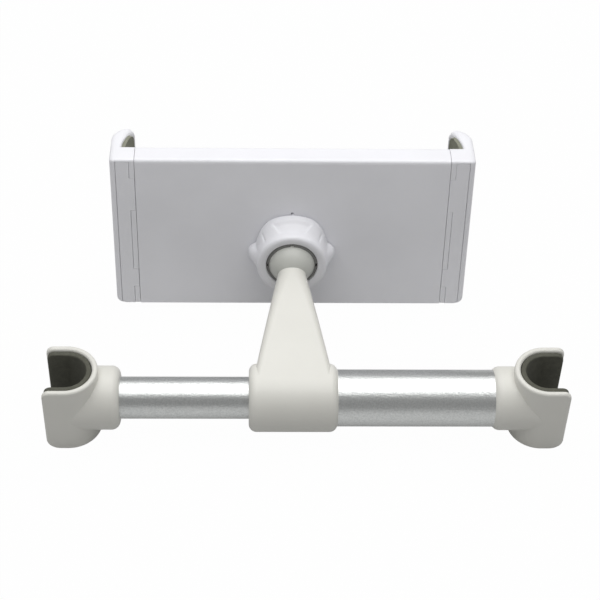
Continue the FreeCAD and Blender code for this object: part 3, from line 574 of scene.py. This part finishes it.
# Sizes of the jaws in millimetres, in the holder's frame, for the right one.
JAW_SEAM, JAW_OUT, JAW_TALL, JAW_TIP, JAW_BACK = 53.85, 62.25, 30.8, 20.3, 8.4
JAW_SOFT, JAW_TOP_CORNER, JAW_LOW_CORNER, JAW_EDGE = 0.9, 1.2, 2.0, 1.8
LIP_START, LIP_CORNER = 54.6, 3.4
COVER_DEEP, COVER_EDGE, COVER_TOP, TAB = 1.2, 60.35, 30.0, 55.55
TAB_ENDS = (23.2, 9.8, -15.2, -23.2)
CURL_AT, CURL = (36.56, 7.615), 22.0


def jaw_section(up, tab, deep):
    """Outline of a jaw across its height; tab and deep are the levels of its back face."""
    gap = JAW_TALL - abs(up)
    soft = rounding(JAW_SOFT, gap)
    out = JAW_OUT - rounding(JAW_LOW_CORNER if up < 0 else JAW_TOP_CORNER, gap)
    tip = LIP_START + rounding(LIP_CORNER, gap)
    edge = min(COVER_EDGE, out - JAW_EDGE)
    points = [(JAW_SEAM, max(tab, soft)), (TAB, max(tab, soft)), (TAB, max(deep, soft)),
              (edge, max(deep, soft)), (edge, soft)]

    def arc(x, y, radius, start, end, steps):
        for step in range(steps + 1):
            angle = math.radians(mix(start, end, step / steps))
            points.append((x + radius * math.cos(angle), y + radius * math.sin(angle)))

    arc(out - JAW_EDGE, JAW_EDGE, JAW_EDGE - soft, -90, 0, 8)
    bend, nose = 6.4, 1.0
    bend_x, bend_y = out - bend, JAW_TIP - bend
    nose_x, nose_y, stop = tip + nose, JAW_TIP - nose, 90
    if nose_x > bend_x:
        nose_x = min(nose_x, bend_x + 0.95 * (bend - nose))
        stop = math.degrees(math.acos((nose_x - bend_x) / (bend - nose)))
        nose_y = bend_y + (bend - nose) * math.sin(math.radians(stop))
    arc(bend_x, bend_y, bend - soft, 0, stop, 14)
    arc(nose_x, nose_y, nose - soft, stop, stop + 115, 8)
    curl_x, curl_y, curl = *CURL_AT, CURL + soft
    high = curl_y + math.sqrt(max(curl ** 2 - (min(nose_x + 0.3, 58.4) - curl_x) ** 2, 4.0))
    for step in range(13):
        y = mix(high, JAW_BACK - soft, step / 12)
        points.append((curl_x + math.sqrt(curl ** 2 - (y - curl_y) ** 2), y))
    points.append((JAW_SEAM, JAW_BACK - soft))
    return points


def jaw_stations():
    """Heights up the jaw with the levels of its back face, twice where a level changes."""
    tips = (0.0, 0.04, 0.12, 0.25, 0.42, 0.62)
    stations = [(JAW_TALL - gap, 0.0, 0.0) for gap in tips + (JAW_TALL - COVER_TOP,)]
    stations += [(JAW_TALL - gap, 0.0, COVER_DEEP) for gap in (JAW_TALL - COVER_TOP, 1.1, 1.5, 2.0, 2.5, 3.0)]
    tab = 0.0
    for up in TAB_ENDS:
        stations.append((up, tab, COVER_DEEP))
        tab = COVER_DEEP - tab
        stations.append((up, tab, COVER_DEEP))
    stations += [(gap - JAW_TALL, 0.0, COVER_DEEP) for gap in (3.0, 2.5, 2.0, 1.5, 1.1, 0.8) + tips[::-1]]
    return stations


def jaw_shell(side, sense):
    """A jaw: a soft-edged block with a curled lip, on the rack and guide arms of its solid."""
    node = f"{side}_jaw"
    shape = bmesh.new()
    shape.from_mesh(frame["nodes"][node].data)
    shape.transform(Matrix.Scale(1000, 4) @ HOLDER.inverted() @ frame["nodes"][node].matrix_world)
    bmesh.ops.remove_doubles(shape, verts=shape.verts, dist=0.001)
    seam = JAW_SEAM - 0.02
    sliced = bmesh.ops.bisect_plane(shape, geom=shape.verts[:] + shape.edges[:] + shape.faces[:], dist=1e-5,
                                    plane_co=(sense * seam, 0, 0), plane_no=(sense, 0, 0), clear_outer=True)
    rim = [item for item in sliced["geom_cut"] if isinstance(item, bmesh.types.BMEdge)]
    bmesh.ops.holes_fill(shape, edges=rim, sides=0)
    for corner in shape.verts:
        if abs(corner.co.x - sense * seam) < 1e-3:
            corner.co.x = sense * (JAW_SEAM + 0.6)
    made = ringed(shape, [[(sense * x, y, up) for x, y in jaw_section(up, tab, deep)]
                          for up, tab, deep in jaw_stations()], False)
    shape.faces.new(made[0])
    shape.faces.new(made[-1])
    bmesh.ops.remove_doubles(shape, verts=[v for ring in made for v in ring], dist=1e-4)
    finished(shape, f"{side}_jaw_shell", HOLDER, "shell_plastic", node, node)


def jaw_panel(side, sense):
    """Cover let into a jaw's back, down to its bottom edge, with notches along the seam."""
    gap, soft = 0.1, 0.2
    top, low = COVER_TOP - gap, 0.12 - JAW_TALL
    stations = [(top, False, soft), (top - soft, False, 0.0)]
    at_seam = False
    for up in TAB_ENDS:
        level = up + gap if at_seam else up - gap
        stations += [(level, at_seam, 0.0), (level, not at_seam, 0.0)]
        at_seam = not at_seam
    stations += [(rise - JAW_TALL, False, 0.0) for rise in (2.8, 2.0, 1.4, 0.9, 0.5, 0.3)]
    stations.append((low, False, soft))
    rings = []
    for up, at_seam, level in stations:
        left = JAW_SEAM if at_seam else TAB + gap
        out = JAW_OUT - rounding(JAW_LOW_CORNER, JAW_TALL - abs(up)) if up < 0 else JAW_OUT
        right = min(COVER_EDGE, out - JAW_EDGE) - gap
        rings.append([(sense * x, y, up) for x, y in (
            (left, COVER_DEEP - 0.02), (left, soft), (left + soft, level),
            (right - soft, level), (right, soft), (right, COVER_DEEP - 0.02))])
    shape = bmesh.new()
    made = ringed(shape, rings, False)
    shape.faces.new(made[0])
    shape.faces.new(made[-1])
    finished(shape, f"{side}_jaw_panel", HOLDER, "shell_plastic", f"{side}_jaw", f"{side}_jaw_cover")


def jaw_liner(side, sense):
    """Rubber liner in the curl of a jaw's lip, with rounded ends."""
    half, thick, low, high, corner, bevel = 29.8, 1.2, 8.5, 18.5, 3.0, 0.25
    face = CURL - thick
    first, last = (math.asin((y - CURL_AT[1]) / CURL) for y in (low, high))
    gaps = (0.0, 0.06, 0.16, 0.32, 0.55, 0.85, 1.2, 1.65, 2.2, corner)
    stations = [(half - gap, gap) for gap in gaps] + [(gap - half, gap) for gap in reversed(gaps)]
    rings = []
    for up, gap in stations:
        end = last - rounding(corner, gap) / CURL
        turns = [mix(first, end, step / 14) for step in range(15)]
        spots = [(CURL - 0.02, turn) for turn in turns] + [(face + bevel, end)]
        spots += [(face, min(turn, end - bevel / CURL)) for turn in reversed(turns)]
        rings.append([(sense * (CURL_AT[0] + r * math.cos(turn)), CURL_AT[1] + r * math.sin(turn), up)
                      for r, turn in spots])
    shape = bmesh.new()
    made = ringed(shape, rings, False)
    shape.faces.new(made[0])
    shape.faces.new(made[-1])
    finished(shape, f"{side}_jaw_liner", HOLDER, "grip_rubber", f"{side}_jaw", f"{side}_jaw_pad")


def back_panel():
    """Back of the body: a flat panel with softened edges, a round seat for the socket and an index hole."""
    half, top, low, thick, soft = 53.7, 29.75, -30.83, 1.8, 0.3
    seat_up, seat, index_up, index = -6.5, 10.6, 8.9, 0.5
    shape = bmesh.new()

    def loop(points, y):
        ring = [shape.verts.new((x, y, z)) for x, z in points]
        return ring, [shape.edges.new((ring[i], ring[(i + 1) % len(ring)])) for i in range(len(ring))]

    def disc(up, radius, steps):
        return [(radius * math.cos(a), up + radius * math.sin(a))
                for a in (2 * math.pi * step / steps for step in range(steps))]

    def border(inset):
        return [(-half, low + inset), (half, low + inset), (half, top - inset), (-half, top - inset)]

    def joined(first, second):
        for i in range(len(first)):
            after = (i + 1) % len(first)
            shape.faces.new((first[i], first[after], second[after], second[i]))

    outlines = (border(soft), disc(seat_up, seat, 96), disc(index_up, index, 24))
    fronts = [loop(points, -0.03) for points in outlines]
    backs = [loop(points, thick) for points in (border(0.0),) + outlines[1:]]
    for loops in (fronts, backs):
        bmesh.ops.triangle_fill(shape, use_beauty=True, edges=[edge for _, edges in loops for edge in edges])
    shoulder = [shape.verts.new((x, soft - 0.03, z)) for x, z in border(0.0)]
    joined(fronts[0][0], shoulder)
    joined(shoulder, backs[0][0])
    joined(fronts[1][0], backs[1][0])
    joined(fronts[2][0], backs[2][0])
    finished(shape, "back_panel", HOLDER, "shell_plastic", "holder", "back_cover")


arm_moulding()
collar_grip()
post_hook("left", -1, 7.02, "rod")
post_hook("right", 1, 9.52, "bar")
for side, sense in (("left", -1), ("right", 1)):
    jaw_shell(side, sense)
    jaw_panel(side, sense)
    jaw_liner(side, sense)
back_panel()
grip_ribs()
jaw_spring("left", -1)
jaw_spring("right", 1)
hub_screw_head()


# Studio: a pale floor, one softbox overhead and one behind.
def studio_floor():
    mesh = bpy.data.meshes.new("floor")
    reach = 4.0
    corners = [(x * reach, y * reach, FLOOR) for x, y in ((-1, -1), (1, -1), (1, 1), (-1, 1))]
    mesh.from_pydata(corners, [], [(0, 1, 2, 3)])
    floor = bpy.data.objects.new("floor", mesh)
    bpy.context.collection.objects.link(floor)
    paint = Paint("floor", roughness=0.9)
    paint.shader.inputs["Base Color"].default_value = (0.54, 0.54, 0.54, 1)
    seen = paint.node("ShaderNodeLightPath", {}, {}, "Is Camera Ray")
    mirrored = paint.node("ShaderNodeLightPath", {}, {}, "Is Glossy Ray")
    passed = paint.node("ShaderNodeLightPath", {}, {}, "Is Transmission Ray")
    glow = paint.node("ShaderNodeEmission", {}, {"Color": (1, 1, 1, 1), "Strength": 1.0})
    base = Value(paint, paint.shader.outputs[0])
    white = seen * 0.985 + mirrored * 0.24 + passed * 0.24
    mixed = paint.node("ShaderNodeMixShader", {}, {0: white, 1: base, 2: glow})
    paint.tree.links.new(mixed.socket, paint.output.inputs["Surface"])
    mesh.materials.append(paint.material)


def softbox(name, place, target, width, height, power):
    lamp = bpy.data.lights.new(name, "AREA")
    lamp.shape = "RECTANGLE"
    lamp.size = width
    lamp.size_y = height
    lamp.energy = power
    rig = bpy.data.objects.new(name, lamp)
    rig.location = place
    rig.rotation_euler = (Vector(target) - Vector(place)).to_track_quat("-Z", "Y").to_euler()
    bpy.context.collection.objects.link(rig)


def studio_camera():
    right = Vector((0.99960, -0.01702, 0.02211))
    up = Vector((-0.00322, 0.71643, 0.69769))
    forward = Vector((0.02768, 0.69750, -0.71610))
    lens = bpy.data.cameras.new("camera")
    lens.sensor_width = 36.0
    lens.lens = 101.66
    lens.clip_start = 0.01
    lens.dof.use_dof = False
    camera = bpy.data.objects.new("camera", lens)
    turn = Matrix((right, up, -forward)).transposed().to_4x4()
    camera.matrix_world = Matrix.Translation((-0.01777, -0.37040, 0.42700)) @ turn
    bpy.context.collection.objects.link(camera)
    bpy.context.scene.camera = camera


studio_floor()
softbox("overhead", (0.0, 0.12, 0.55), (0.0, 0.12, 0.0), width=0.8, height=0.66, power=3.4)
softbox("rear", (0.0, 0.52, 0.55), (0.0, 0.52, 0.0), width=0.8, height=0.14, power=0.45)
world = bpy.data.worlds.new("studio")
world.use_nodes = True
world.node_tree.nodes["Background"].inputs["Color"].default_value = (0.29, 0.29, 0.29, 1)
bpy.context.scene.world = world
bpy.context.scene.view_settings.view_transform = "Standard"
studio_camera()
